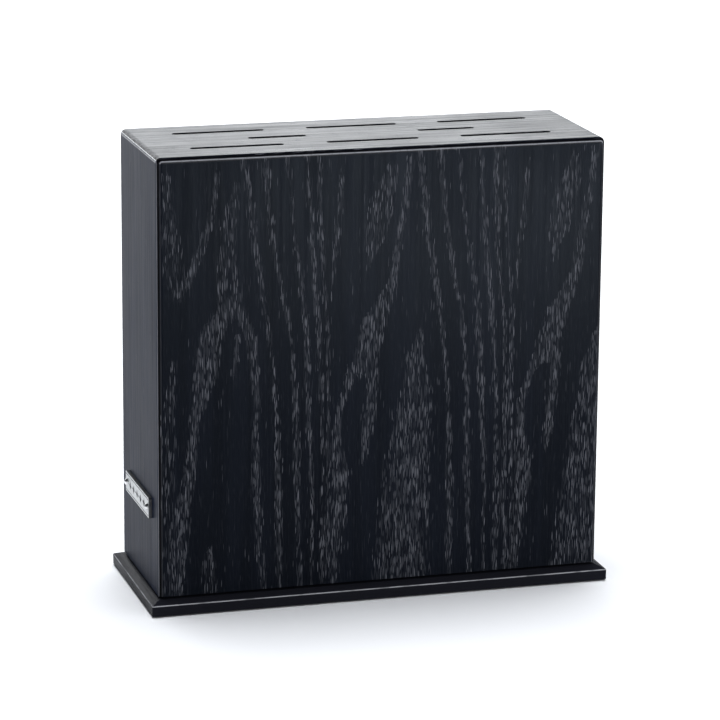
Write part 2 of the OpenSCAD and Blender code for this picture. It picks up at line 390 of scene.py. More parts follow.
@dataclass(frozen=True)
class Figure:
    """The figure of one leaf: its ring legs, its bands and a thin scatter of pores all over."""

    legs: RingLegs
    bands: tuple[PoreBand, ...]
    scatter: float = 0.035

    def density(self, across: np.ndarray, down: np.ndarray) -> np.ndarray:
        """Density of pores at places given in metres across and down the leaf."""
        x, t = across / MM, down / MM
        found = np.maximum(self.legs.density(x, t), self.scatter)
        for band in self.bands:
            found = np.maximum(found, band.density(x, t))
        return found


ARCHED = Figure(
    legs=RingLegs(starts=(54.0, 67.0, 79.5, 92.5, 102.0, 108.5),
                  ends=(77.5, 89.5, 99.5, 107.0, 112.5, 117.0)),
    bands=(
        PoreBand(((14, 6.5, 1.6), (45, 4.5, 1.7), (75, 0.5, 1.4), (88, 0, 1.0))),
        PoreBand(((12, 37, 4), (25, 34, 8), (40, 29, 9), (56, 27, 8), (63, 25, 4), (74, 23, 1)), 0.7),
        PoreBand(((8, 49, 3), (40, 45, 3), (60, 42, 2.5), (80, 39, 3.5), (92, 35, 5.5), (104, 28, 8),
                  (120, 24, 9), (136, 21, 9.5))),
        PoreBand(((134, 15, 4.5), (147, 9.5, 3), (162, 5, 2.6), (182, 4, 3.5), (200, 7, 7), (215, 6.5, 5.5),
                  (240, 4, 4), (268, 2, 3))),
        PoreBand(((134, 27, 4), (150, 26, 3.5), (170, 24, 4), (183, 22.5, 3), (193, 21, 1))),
        PoreBand(((117, 56, 1.5), (126, 54, 6), (140, 52.5, 9.5), (160, 53, 12.5), (180, 51, 15),
                  (205, 48.5, 15.5), (235, 47, 19), (272, 46, 22)), 0.8),
    ),
)

FORKED = Figure(
    legs=RingLegs(starts=(62.5, 75.0, 90.0, 101.5, 108.5),
                  ends=(86.0, 98.0, 106.0, 113.0, 117.0)),
    bands=(
        PoreBand(((12, 14, 5), (50, 18, 7), (70, 20, 8), (82, 23, 5)), 0.5),
        PoreBand(((12, 47, 2), (40, 42, 2.5), (60, 35, 3), (75, 29, 3.5), (83, 23, 3))),
        PoreBand(((20, 57, 1), (45, 50.5, 2.5), (90, 49.5, 4)), 0.7),
        PoreBand(((20, 60, 1.5), (50, 55, 3), (84, 57, 3.5)), 0.7),
        PoreBand(((86, 56, 4), (95, 52, 8), (106, 44, 9), (120, 41, 9), (135, 39, 8), (150, 36, 5),
                  (165, 32, 3.2), (190, 30, 4), (215, 25, 6), (268, 22, 4))),
        PoreBand(((86, 58, 4), (96, 61, 4.5), (106, 65, 4), (116, 68, 4), (130, 69, 3.5), (150, 71, 2.4),
                  (200, 70.5, 2.8), (240, 72, 2.4), (270, 76, 2))),
        PoreBand(((112, 59, 2), (133, 56.5, 1.5))),
        PoreBand(((125, 20, 3), (165, 15, 6), (268, 15, 5)), 0.45),
        PoreBand(((243, 41, 2), (253, 41, 5), (268, 42, 5)), 0.8),
    ),
)


# ---- finishes ----


class Grain(Enum):
    """Which way the grain runs, as the turn that brings it upright on Z."""

    UPRIGHT = (0.0, 0.0, 0.0)
    ALONG_X = (0.0, math.pi / 2.0, 0.0)
    ALONG_Y = (math.pi / 2.0, 0.0, 0.0)


class Nodes:
    """Short way to add and link the nodes of one tree."""

    def __init__(self, tree: Tree) -> None:
        """Keeps the tree that nodes are added to."""
        self.tree = tree

    def feed(self, node: bpy.types.Node, **inputs: object) -> None:
        """Sets or links inputs of a node.

        Args:
            node: The node.
            inputs: Values or output sockets by input name, with _ for a space; i0, i1... by number.
        """
        for key, value in inputs.items():
            numbered = key[0] == "i" and key[1:].isdigit()
            socket = node.inputs[int(key[1:]) if numbered else key.replace("_", " ")]
            if isinstance(value, Socket):
                self.tree.links.new(value, socket)
            else:
                socket.default_value = value

    def add(self, kind: str, settings: dict | None = None, **inputs: object) -> bpy.types.Node:
        """Adds a node, sets its properties and feeds its inputs.

        Args:
            kind: Node type, less its "ShaderNode".
            settings: Properties of the node.
            inputs: Inputs, as feed takes them.

        Returns:
            The new node.
        """
        node = self.tree.nodes.new(f"ShaderNode{kind}")
        for key, value in (settings or {}).items():
            setattr(node, key, value)
        self.feed(node, **inputs)
        return node

    def math(self, operation: str, a: object, b: object) -> Socket:
        """Adds a Math node and gives its output."""
        return self.add("Math", {"operation": operation}, i0=a, i1=b).outputs[0]

    def remap(self, value: Socket, low: float, high: float, to_low: float = 0.0,
              to_high: float = 1.0) -> Socket:
        """Maps low..high smoothly and clamped onto to_low..to_high."""
        return self.add("MapRange", {"interpolation_type": "SMOOTHSTEP"}, i0=value, i1=low, i2=high,
                        i3=to_low, i4=to_high).outputs[0]

    def mix(self, factor: Socket, a: object, b: object) -> Socket:
        """Mixes two colours and gives the result."""
        return self.add("Mix", {"data_type": "RGBA"}, i0=factor, i6=a, i7=b).outputs[2]

    def scaled(self, vector: Socket, scale: Triple) -> Socket:
        """Stretches coordinates by a factor on each axis."""
        return self.add("VectorMath", {"operation": "MULTIPLY"}, i0=vector, i1=scale).outputs[0]

    def noise(self, vector: Socket, scale: float, detail: float, roughness: float = 0.5) -> Socket:
        """Adds a 3D noise and gives its value."""
        return self.add("TexNoise", Vector=vector, Scale=scale, Detail=detail, Roughness=roughness).outputs[0]

    def bump(self, height: Socket, strength: float, distance: float) -> Socket:
        """Adds a Bump node and gives its normal."""
        return self.add("Bump", Strength=strength, Distance=distance, Height=height).outputs[0]

    def kept(self, name: str) -> Socket:
        """Gives a value that the mesh keeps at its points."""
        return self.add("Attribute", {"attribute_name": name}).outputs["Fac"]

    def where(self, grain: Grain = Grain.UPRIGHT) -> Socket:
        """Gives the object coordinates, turned so that the grain runs along Z."""
        spot = self.add("TexCoord").outputs["Object"]
        return self.add("Mapping", Vector=spot, Rotation=grain.value).outputs[0]


def new_group(name: str, floats: dict[str, float], outputs: tuple[str, ...]) -> tuple:
    """Starts a shader node group that takes a Vector.

    Args:
        name: Name of the group.
        floats: Its other inputs, with their defaults.
        outputs: Names of its outputs, all floats.

    Returns:
        Its Nodes, the sockets it is given and its output node.
    """
    group = bpy.data.node_groups.new(name, "ShaderNodeTree")
    group.interface.new_socket(name="Vector", in_out="INPUT", socket_type="NodeSocketVector")
    for key, default in floats.items():
        socket = group.interface.new_socket(name=key, in_out="INPUT", socket_type="NodeSocketFloat")
        socket.default_value = default
    for key in outputs:
        group.interface.new_socket(name=key, in_out="OUTPUT", socket_type="NodeSocketFloat")
    given = group.nodes.new("NodeGroupInput").outputs
    return Nodes(group), given, group.nodes.new("NodeGroupOutput")


@dataclass(frozen=True)
class PoreSize:
    """One size of pore: its cell in millimetres, the share of cells that open, its strength."""

    width: float
    length: float
    share: float
    level: float


PORE_SIZES = (PoreSize(0.75, 9.5, 0.75, 1.0), PoreSize(0.58, 7.0, 0.8, 1.0), PoreSize(0.5, 15.0, 0.8, 0.42))


def pore_group() -> Tree:
    """Open pores as short dashes along the grain.

    The surface is read as a sheet: x + y runs across the grain, because a face keeps one of
    them fixed, and z along it. Stretched Voronoi cells each hold one dash. A cell's random
    number is compared with the density, so bands of pores have ragged edges. Three sizes of
    dash lie over each other, the longest the faintest.
    """
    n, given, out = new_group("open pores", {"Density": 0.5}, ("Pores",))
    parts = n.add("SeparateXYZ", Vector=given["Vector"]).outputs
    sheet = n.add("CombineXYZ", X=n.math("ADD", parts[0], parts[1]), Y=parts[2]).outputs[0]
    wander = n.add("TexNoise", {"noise_dimensions": "2D"}, Vector=n.scaled(sheet, (60.0, 22.0, 1.0)),
                   Scale=1.0, Detail=1.0)
    bend = n.add("VectorMath", {"operation": "MULTIPLY_ADD"}, i0=wander.outputs["Color"],
                 i1=(2.0 * MM, 0.0, 0.0), i2=sheet).outputs[0]
    found = None
    for size in PORE_SIZES:
        cell = (1000.0 / size.width, 1000.0 / size.length, 1.0)
        cells = n.add("TexVoronoi", {"voronoi_dimensions": "2D", "feature": "F1"},
                      Vector=n.scaled(bend, cell), Scale=1.0, Randomness=0.9).outputs
        chance = n.add("SeparateColor", i0=cells["Color"]).outputs
        reach = n.math("ADD", cells["Distance"], n.math("MULTIPLY", chance[1], 0.14))
        wanted = n.math("MULTIPLY", given["Density"], size.share)
        is_open = n.remap(n.math("SUBTRACT", wanted, chance[0]), -0.02, 0.06)
        strength = n.remap(n.math("POWER", chance[2], 2.0), 0.0, 1.0, 0.12 * size.level, size.level)
        layer = n.math("MULTIPLY", n.math("MULTIPLY", n.remap(reach, 0.48, 0.3), is_open), strength)
        found = layer if found is None else n.math("MAXIMUM", found, layer)
    n.feed(out, Pores=found)
    return n.tree


def wear_and_highlight_group() -> Tree:
    """Pale marks on the arrises, a painted highlight partly standing for wear from handling, and faint rub
    marks on the flats.

    The mask is the Arris value broken up by noise; the haze is a broad, soft noise.
    """
    n, given, out = new_group("handling wear and painted highlight", {"Arris": 0.0}, ("Rubbed", "Haze"))
    patchy = n.remap(n.noise(given["Vector"], 90.0, 4.0), 0.3, 0.6, 0.35, 1.0)
    broad = n.remap(n.noise(given["Vector"], 14.0, 3.0), 0.3, 0.75)
    n.feed(out, Rubbed=n.math("MULTIPLY", given["Arris"], patchy), Haze=broad)
    return n.tree


def fibre_group() -> Tree:
    """Grain short of its pores: fine fibres, narrow long streaks and a slow drift of tone.

    Each is a noise stretched along Z, in three sizes.
    """
    n, given, out = new_group("wood fibres", {}, ("Fibre", "Streak", "Drift"))
    for name, across, along, detail in (("Fibre", 1100.0, 130.0, 3.0), ("Streak", 380.0, 9.0, 3.0),
                                        ("Drift", 110.0, 6.0, 1.0)):
        spot = n.scaled(given["Vector"], (across, across, along))
        n.feed(out, **{name: n.noise(spot, 1.0, detail, 0.6)})
    return n.tree


class Finish:
    """Base of every finish: starts a material and places the shared effects."""

    makers = {"pores": pore_group, "wear": wear_and_highlight_group, "fibres": fibre_group}
    made: dict[str, Tree] = {}

    def effect(self, n: Nodes, name: str, **inputs: object) -> bpy.types.bpy_prop_collection:
        """Places a shared node group, built at its first use, and gives its outputs."""
        if name not in self.made:
            self.made[name] = self.makers[name]()
        return n.add("Group", {"node_tree": self.made[name]}, **inputs).outputs

    def start(self, name: str, **sockets: object) -> tuple[Material, Nodes, bpy.types.Node]:
        """Makes a material and sets the constant sockets of its shader.

        Args:
            name: Name of the material.
            sockets: Constant values by socket name, with _ for a space.

        Returns:
            The material, its Nodes and its Principled shader.
        """
        material = bpy.data.materials.new(name)
        material.use_nodes = True
        n, shader = Nodes(material.node_tree), material.node_tree.nodes["Principled BSDF"]
        n.feed(shader, **sockets)
        return material, n, shader

    @staticmethod
    def streak(n: Nodes, value: Socket, depth: float) -> Socket:
        """Turns the streaks of the grain into a change of roughness about zero."""
        return n.math("MULTIPLY", n.remap(value, 0.35, 0.65, -0.5, 0.5), 0.3 * depth)


@dataclass(frozen=True)
class StainedVeneer(Finish):
    """Black-stained veneer under a thin satin varnish, its open pores limed grey."""

    name: str
    figured: bool
    grain: Grain = Grain.UPRIGHT
    plain_density: float = 0.07
    streaks: float = 0.3
    stain: Colour = (0.0014, 0.0021, 0.0044, 1.0)
    stain_light: Colour = (0.0036, 0.0048, 0.0088, 1.0)
    lime: Colour = (0.1, 0.103, 0.118, 1.0)
    # Colour of the painted highlight line along the arrises.
    rubbed: Colour = (0.3, 0.3, 0.32, 1.0)
    gleam: Colour = (0.77, 0.87, 0.97, 1.0)
    ior: float = 1.13
    roughness: float = 0.31
    pore_roughness: float = 0.25
    haze: float = 0.04
    film: float = 0.07

    def material(self) -> Material:
        """Builds the material: stain varied by tone, pores lighter, rougher and sunk.

        The arris that hands brush is burnished, which shows as a clear coat. A pale line along the arris,
        from the rim value, is a painted highlight.
        """
        material, n, shader = self.start(self.name, IOR=self.ior, Specular_Tint=self.gleam,
                                         Coat_Roughness=0.12, Coat_IOR=1.5)
        where = n.where(self.grain)
        density = n.kept("pores") if self.figured else self.plain_density
        pores = self.effect(n, "pores", Vector=where, Density=density)["Pores"]
        grain = self.effect(n, "fibres", Vector=where)
        haze = self.effect(n, "wear", Vector=where)["Haze"]
        fibre, rim = grain["Fibre"], n.kept("rim")
        drift = n.math("ADD", n.remap(grain["Drift"], 0.3, 0.7), n.kept("tone"))
        stained = n.mix(n.math("MULTIPLY", drift, 0.6), self.stain, self.stain_light)
        film = n.remap(fibre, 0.5, 0.8, 0.0, self.film)
        limed = n.mix(n.math("MAXIMUM", pores, film), stained, self.lime)
        # Painted highlight: the rim value lightens the colour in a line along the arris, broken by the
        # fibres.
        thin = n.math("MULTIPLY", rim, n.remap(fibre, 0.2, 0.5, 0.55, 1.0))
        polish = n.math("MAXIMUM", n.kept("burnish"), rim)
        uneven = n.math("ADD", n.math("MULTIPLY", haze, self.haze),
                        self.streak(n, grain["Streak"], self.streaks))
        rough = n.math("ADD", n.math("MULTIPLY", pores, self.pore_roughness), uneven)
        sunk = n.math("SUBTRACT", n.math("MULTIPLY", fibre, 0.3), pores)
        n.feed(shader, Base_Color=n.mix(thin, limed, self.rubbed),
               Roughness=n.math("ADD", rough, self.roughness),
               Normal=n.bump(sunk, 0.3, 0.15 * MM),
               Coat_Weight=n.math("MULTIPLY", polish, n.remap(fibre, 0.2, 0.5, 0.7, 1.0)))
        return material


@dataclass(frozen=True)
class BlackLacquer(Finish):
    """Black lacquer over solid wood, so that its grain still shows, with a pale highlight painted along its
    arrises, partly standing for wear.
    """

    name: str
    colour: Colour
    ior: float
    # Pale colour painted along the arrises: a painted highlight, partly wear.
    rubbed: Colour = (0.4, 0.4, 0.42, 1.0)
    roughness: float = 0.3
    streaks: float = 0.6
    grain: Grain = Grain.UPRIGHT

    def material(self) -> Material:
        """Builds the material: grain in the gloss and the bump, and a pale highlight painted along the
        arrises, partly wear.
        """
        material, n, shader = self.start(self.name, IOR=self.ior)
        where = n.where(self.grain)
        # The arris mask paints a pale highlight, partly wear, into the base colour.
        rubbed = self.effect(n, "wear", Vector=where, Arris=n.kept("arris"))["Rubbed"]
        grain = self.effect(n, "fibres", Vector=where)
        fine = n.math("MULTIPLY", n.math("SUBTRACT", grain["Fibre"], 0.5), 0.3)
        uneven = n.math("ADD", self.streak(n, grain["Streak"], self.streaks), fine)
        n.feed(shader, Base_Color=n.mix(rubbed, self.colour, self.rubbed),
               Roughness=n.math("ADD", uneven, self.roughness),
               Normal=n.bump(grain["Fibre"], 0.25, 0.12 * MM))
        return material


@dataclass(frozen=True)
class CoreWood(Finish):
    """Dark-stained, unpolished wood of the core boards and strips."""

    dark: Colour = (0.008, 0.007, 0.0065, 1.0)
    light: Colour = (0.03, 0.026, 0.023, 1.0)

    def material(self) -> Material:
        """Builds the material: brown-black fibres, dull."""
        material, n, shader = self.start("dark core wood", IOR=1.4)
        grain = self.effect(n, "fibres", Vector=n.where())
        n.feed(shader, Base_Color=n.mix(grain["Fibre"], self.dark, self.light),
               Roughness=n.remap(grain["Drift"], 0.2, 0.8, 0.55, 0.8),
               Normal=n.bump(grain["Fibre"], 0.4, 0.1 * MM))
        return material


@dataclass(frozen=True)
class Metal(Finish):
    """A metal, brushed along one axis or polished, with fine scratches."""

    name: str
    colour: Colour
    roughness: float
    brushed: Triple = (400.0, 400.0, 400.0)
    scratch: float = 0.12

    def material(self) -> Material:
        """Builds the material: brushing in the roughness, the colour and the bump."""
        material, n, shader = self.start(self.name, Metallic=1.0)
        lines = n.noise(n.scaled(n.where(), self.brushed), 1.0, 4.0)
        dull = tuple(0.72 * part for part in self.colour[:3]) + (1.0,)
        n.feed(shader, Base_Color=n.mix(n.remap(lines, 0.35, 0.65), dull, self.colour),
               Roughness=n.math("ADD", self.roughness, n.math("MULTIPLY", lines, self.scratch)),
               Normal=n.bump(lines, 0.2, 0.03 * MM))
        return material


@dataclass(frozen=True)
class Rubber(Finish):
    """Matt black rubber with a fine pebble."""

    dark: Colour = (0.012, 0.012, 0.012, 1.0)
    light: Colour = (0.03, 0.03, 0.03, 1.0)

    def material(self) -> Material:
        """Builds the material: near black, pebbled by small Voronoi cells."""
        material, n, shader = self.start("foot rubber", IOR=1.45)
        pebble = n.add("TexVoronoi", Vector=n.where(), Scale=1800.0).outputs["Distance"]
        n.feed(shader, Base_Color=n.mix(pebble, self.dark, self.light),
               Roughness=n.remap(pebble, 0.0, 1.0, 0.65, 0.85),
               Normal=n.bump(pebble, 0.4, 0.1 * MM))
        return material


@dataclass(frozen=True)
class Paper(Finish):
    """Pale, faintly mottled paper of the floor."""

    dark: Colour = (0.88, 0.88, 0.88, 1.0)
    light: Colour = (0.92, 0.92, 0.92, 1.0)

    def material(self) -> Material:
        """Builds the material: a broad mottle in the colour."""
        material, n, shader = self.start("pale paper", Roughness=0.9, Specular_IOR_Level=0.1)
        mottle = n.add("TexNoise", Scale=3.0, Detail=2.0).outputs[0]
        n.feed(shader, Base_Color=n.mix(mottle, self.dark, self.light))
        return material


# ---- the case ----


@dataclass(frozen=True)
class Slot:
    """One blade slot in the top: where its middle is, how long and how wide it is."""

    across: float
    up: float
    length: float
    width: float
    end_steps: int = 10

    def loop(self, grow: float, depth: float) -> np.ndarray:
        """Outline with half-round ends, grown by a margin, as a loop at a depth."""
        radius = self.width / 2.0 + grow
        middle = with_depth(np.array([[self.across, self.up]]), depth)
        return middle + round_box((self.length / 2.0 + grow, radius), radius, self.end_steps, 0.0)


@dataclass
class Case:
    """Mitred panels with round arrises, and the leaves of veneer on their faces."""

    arris: float = 3.5 * MM
    veneer: float = 0.6 * MM
    wall: float = 12.6 * MM
    lip: float = 0.35 * MM
    guard: float = 0.3 * MM
    corner_steps: int = 14
    arris_steps: int = 14
    leaf_cell: float = 1.6 * MM
    slot_width: float = 4.5 * MM
    long_slot: float = 57.5 * MM
    short_slot: float = 36.0 * MM
    end_strip: float = 13.75 * MM
    relief: float = 0.5 * MM
    # Tilt, spread and strength of the pale highlight line painted on the arrises.
    line_tilt: float = 24.5
    line_spread: float = 8.0
    line_rise: float = 0.15
    line_upright: float = 0.06
    line_plain: float = 0.5
    burnish_rise: float = 0.25
    tones: Triple = (0.1, 0.6, 0.3)

    def __post_init__(self) -> None:
        """Takes the outer sizes and the slots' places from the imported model."""
        low, high = (np.array(corner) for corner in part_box("front_veneer_left"))
        self.front_y = low[1]
        self.foot = low[2]
        self.left_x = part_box("left_veneer")[0].x
        self.right_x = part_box("right_veneer")[1].x
        self.back_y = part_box("back_veneer_left")[1].y
        self.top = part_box("top_veneer")[1].z
        self.height = self.top - self.foot
        self.half_w = (self.right_x - self.left_x) / 2.0
        self.half_d = (self.back_y - self.front_y) / 2.0
        self.joints = (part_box("front_veneer_middle")[0].x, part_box("front_veneer_middle")[1].x)
        self.cap_angle = math.acos(1.0 - self.veneer / self.arris)

    def frame(self, face: Face) -> FaceFrame:
        """Coordinates of a face, from the middle of its foot, or of the top from its middle."""
        origin = {
            Face.FRONT: (0.0, self.front_y, self.foot),
            Face.BACK: (0.0, self.back_y, self.foot),
            Face.LEFT: (self.left_x, 0.0, self.foot),
            Face.RIGHT: (self.right_x, 0.0, self.foot),
            Face.TOP: (0.0, 0.0, self.top),
        }
        return FaceFrame(face, origin[face])

    def half_width(self, face: Face) -> float:
        """Half the width of a face."""
        return self.half_d if face in (Face.LEFT, Face.RIGHT) else self.half_w

    def ring(self, face: Face, inset: float, rho: np.ndarray, depth: np.ndarray) -> np.ndarray:
        """A loop round a face: its rectangle less an inset, its corners rounded by rho.

        The rounding radius and the depth may change round a corner, from the side (first)
        to the top (last). The foot of a standing face is cut straight.

        Args:
            face: The face.
            inset: Distance from the finished edges to the centres of the corners.
            rho: Radius at each point of a corner.
            depth: Depth at each point of a corner.

        Returns:
            (n, 3) points.
        """
        turn = np.linspace(0.0, math.pi / 2.0, len(rho))
        side, rise = rho * np.cos(turn), rho * np.sin(turn)
        across = self.half_width(face) - inset
        up = (self.half_d if face is Face.TOP else self.height) - inset
        right = np.stack([across + side, up + rise, depth], -1)
        left = right * (-1, 1, 1)
        if face is Face.TOP:
            down = (1, -1, 1)
            return np.concatenate([right, left[::-1], left * down, (right * down)[::-1]])
        foot = np.array([[-(across + side[0]), 0.0, depth[0]], [across + side[0], 0.0, depth[0]]])
        return np.concatenate([right, left[::-1], foot])

    def arris_ring(self, face: Face, angle: np.ndarray) -> np.ndarray:
        """A loop on the round arris: radius * sin(angle) out and radius * (1 - cos(angle)) deep."""
        return self.ring(face, self.arris, self.arris * np.sin(angle), self.arris * (1.0 - np.cos(angle)))

    def plain_ring(self, face: Face, inset: float, depth: float) -> np.ndarray:
        """A square-cornered loop at one depth."""
        none = np.zeros(self.corner_steps + 1)
        return self.ring(face, inset, none, none + depth)

    def mitre_angle(self) -> np.ndarray:
        """Polar angle at which two panels meet, at each point of a corner.

        It is 45 degrees along an arris and atan(sqrt 2) where three arrises meet, because
        the mitre runs where two of the three parts of the normal are equal.
        """
        turn = np.linspace(0.0, math.pi / 2.0, self.corner_steps + 1)
        return np.arctan(1.0 / np.maximum(np.cos(turn), np.sin(turn)))

    def slots(self) -> list[Slot]:
        """Places the slots over the channels of the core."""
        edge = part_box("middle_strip_centre")[1]
        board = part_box("core_board_mid_back")
        row = board[1].y + self.relief + self.slot_width / 2.0
        side = self.half_w - self.wall - self.end_strip - self.relief - self.long_slot / 2.0
        short = edge.x + self.relief + self.short_slot / 2.0
        longs = [Slot(x, y, self.long_slot, self.slot_width) for y in (-row, row) for x in (-side, 0.0, side)]
        return longs + [Slot(x, 0.0, self.short_slot, self.slot_width) for x in (-short, short)]

    def panel(self, face: Face, name: str, material: Material) -> None:
        """Builds a panel: flat under its veneer, round at its arrises, mitred to its neighbours.

        Args:
            face: The face it lies behind.
            name: CAD node that it replaces.
            material: Its finish.
        """
        mitre = self.mitre_angle()
        start = np.full_like(mitre, self.cap_angle)
        shares = np.linspace(0.0, 1.0, self.arris_steps + 1)
        rings = [self.arris_ring(face, start + (mitre - start) * share) for share in shares]
        rings.append(self.plain_ring(face, self.wall, self.wall))
        draft = Draft()
        draft.rings(rings)
        holes = self.slots() if face is Face.TOP else []
        draft.cap(rings[0], [slot.loop(0.0, self.veneer) for slot in holes])
        draft.cap(rings[-1], [slot.loop(0.0, self.wall) for slot in holes])
        for slot in holes:
            draft.rings([slot.loop(0.0, self.veneer), slot.loop(0.0, self.wall)])
        piece = draft.make(f"{name}_body", self.frame(face), {"arris": self.arris_values(draft)})
        finish_piece(piece, "case_black", [material], name)

    def arris_values(self, draft: Draft) -> np.ndarray:
        """1 on the arris bands of a panel and 0 on its flats, by how deep a point lies."""
        depth = np.concatenate(draft.points)[:, 2]
        return ((depth > self.veneer * 1.02) & (depth < self.arris)).astype(float)

    def plain_leaf(self, face: Face, name: str, material: Material) -> None:
        """Builds a leaf that covers a whole face, with slots where it lies on the top.

        Args:
            face: The face.
            name: CAD node that it replaces.
            material: Its finish.
        """
        angles = np.linspace(0.0, self.cap_angle, self.arris_steps)
        flat = np.zeros(self.corner_steps + 1)
        rings = [self.plain_ring(face, self.arris + self.guard, 0.0)]
        rings += [self.arris_ring(face, flat + angle) for angle in angles]
        back = self.plain_ring(face, self.arris + self.guard, self.veneer)
        draft = Draft()
        draft.rings([*rings, back])
        holes = self.slots() if face is Face.TOP else []
        draft.cap(rings[0], [slot.loop(self.lip + self.guard, 0.0) for slot in holes])
        draft.cap(back, [slot.loop(0.0, self.veneer) for slot in holes])
        for slot in holes:
            edge = [slot.loop(inset, depth) for inset, depth in quarter_round(self.lip)]
            draft.rings([slot.loop(self.lip + self.guard, 0.0), *edge, slot.loop(0.0, self.veneer)])
        where = np.concatenate(draft.points)
        shown = float(face is not Face.TOP)
        # The rim value paints a pale highlight line on the side arrises.
        rim = self.rim(where, self.line_plain, self.line_plain)
        values = {"burnish": shown * self.burnish(where[:, 1]), "rim": shown * rim}
        piece = draft.make(f"{name}_leaf", self.frame(face), values)
        finish_piece(piece, "stained_veneer", [material], name)

    def burnish(self, rise: np.ndarray) -> np.ndarray:
        """Polish of the arris at the top of a standing face: from 0 where it starts to 1."""
        return ease((rise - (self.height - self.arris)) / (self.burnish_rise * self.arris))

    def rim(self, where: np.ndarray, upright: float, top: float) -> np.ndarray:
        """Pale line painted along an arris: a painted highlight.

        A point at depth d is tilted by acos(1 - d / arris); the line is a hump round one tilt,
        in degrees.

        Args:
            where: Points in the frame of their face.
            upright: Strength of the line along the upright arrises.
            top: Its strength along the top.

        Returns:
            One value per point.
        """
        tilt = np.degrees(np.arccos(1.0 - np.clip(where[:, 2], 0.0, self.veneer) / self.arris))
        hump = np.clip(1.0 - ((tilt - self.line_tilt) / self.line_spread) ** 2, 0.0, 1.0)
        along_top = ease((where[:, 1] - (self.height - self.arris)) / (self.line_rise * self.arris))
        return hump * (upright + (top - upright) * along_top)

    def figured_leaf(self, face: Face, name: str, span: Pair, figure: Figure, joint: float,
                     tone: float, material: Material) -> None:
        """Builds one of the leaves side by side on the front or the back.

        Its surface is a grid. Beyond the flat part, p and q run from 0 to 1 over the arris
        band at the side and the top, and the square p, q corner is bent into a quarter disc:
        p * sqrt(1 - q^2 / 2), q * sqrt(1 - p^2 / 2). The depth follows the ball of the arris.

        Args:
            face: Face.FRONT or Face.BACK.
            name: CAD node that it replaces.
            span: Its left and right edge, across the face.
            figure: Its figure.
            joint: Where the figure starts, across the face.
            tone: How light its stain came out, from 0 to 1.
            material: Its finish.
        """
        core = self.half_w - self.arris
        low, high = max(span[0], -core), min(span[1], core)
        across = np.linspace(low, high, max(2, round((high - low) / self.leaf_cell)))
        up = np.linspace(0.0, self.height - self.arris, round(self.height / self.leaf_cell))
        band = np.linspace(0.0, 1.0, self.arris_steps)[1:]
        p = np.zeros(len(across))
        if span[0] < -core:
            across, p = np.concatenate([[low] * len(band), across]), np.concatenate([-band[::-1], p])
        if span[1] > core:
            across, p = np.concatenate([across, [high] * len(band)]), np.concatenate([p, band])
        q = np.concatenate([np.zeros(len(up)), band])
        up = np.concatenate([up, [up[-1]] * len(band)])
        p, q = p[None, :], q[:, None]
        reach = self.arris * math.sin(self.cap_angle)
        out, rise = reach * p * np.sqrt(1.0 - q * q / 2.0), reach * q * np.sqrt(1.0 - p * p / 2.0)
        depth = self.arris - np.sqrt(self.arris ** 2 - out ** 2 - rise ** 2)
        spots = np.stack([across[None, :] + out, up[:, None] + rise], -1)
        outer, inner = with_depth(spots, depth), with_depth(spots, self.veneer)
        draft = Draft()
        draft.grid(outer)
        draft.grid(inner[::-1])
        for a, b in ((outer[0], inner[0]), (outer[-1], inner[-1]),
                     (outer[:, 0], inner[:, 0]), (outer[:, -1], inner[:, -1])):
            draft.grid(np.stack([a, b]))
        where = np.concatenate(draft.points)
        # The rim value paints a pale highlight line along the arrises, strongest along the top.
        values = {"pores": figure.density(where[:, 0] - joint, self.height - where[:, 1]),
                  "tone": np.full(len(where), tone), "burnish": self.burnish(where[:, 1]),
                  "rim": self.rim(where, self.line_upright, 1.0)}
        piece = draft.make(f"{name}_leaf", self.frame(face), values)
        finish_piece(piece, "stained_veneer", [material], name)

    def figured_face(self, face: Face, stem: str, material: Material) -> None:
        """Lays the three leaves of the front or the back, slip-matched."""
        first, second = self.joints
        width = second - first
        spans = ((-self.half_w, first), (first, second), (second, self.half_w))
        figures = (FORKED, ARCHED, ARCHED)
        if face is Face.BACK:
            spans = tuple((-b, -a) for a, b in spans)
            figures = (ARCHED, FORKED, ARCHED)
            first = -first - width
            width = -width
        joints = (first - width, first, first + width)
        leaves = zip(("left", "middle", "right"), spans, figures, joints, self.tones)
        for name, span, figure, joint, tone in leaves:
            self.figured_leaf(face, f"{stem}_veneer_{name}", span, figure, joint, tone, material)

    def build(self) -> None:
        """Builds the panels and the veneers and dresses them."""
        # The sealed arrises are painted a little paler over their bands: painted highlight and wear together.
        sealed = BlackLacquer("sealed black arris", colour=(0.0012, 0.0013, 0.0018, 1.0), ior=1.1,
                              rubbed=(0.003, 0.003, 0.004, 1.0)).material()
        for face in (Face.FRONT, Face.BACK, Face.LEFT, Face.RIGHT, Face.TOP):
            self.panel(face, f"{face.name.lower()}_panel", sealed)
        figured = StainedVeneer("figured stained veneer", figured=True, roughness=0.25).material()
        self.figured_face(Face.FRONT, "front", figured)
        self.figured_face(Face.BACK, "back", figured)
        # The side leaves are stained lighter and bluer than the front's to paint the bluish sheen that the
        # sides show.
        side = StainedVeneer("straight stained veneer, bluer for a painted sheen", figured=False, ior=1.067, streaks=0.25,
                             stain=(0.004, 0.007, 0.019, 1.0),
                             stain_light=(0.011, 0.016, 0.034, 1.0)).material()
        self.plain_leaf(Face.LEFT, "left_veneer", side)
        self.plain_leaf(Face.RIGHT, "right_veneer", side)
        along = StainedVeneer("stained veneer along the top", figured=False, grain=Grain.ALONG_X,
                              plain_density=0.22).material()
        self.plain_leaf(Face.TOP, "top_veneer", along)


# ---- core ----


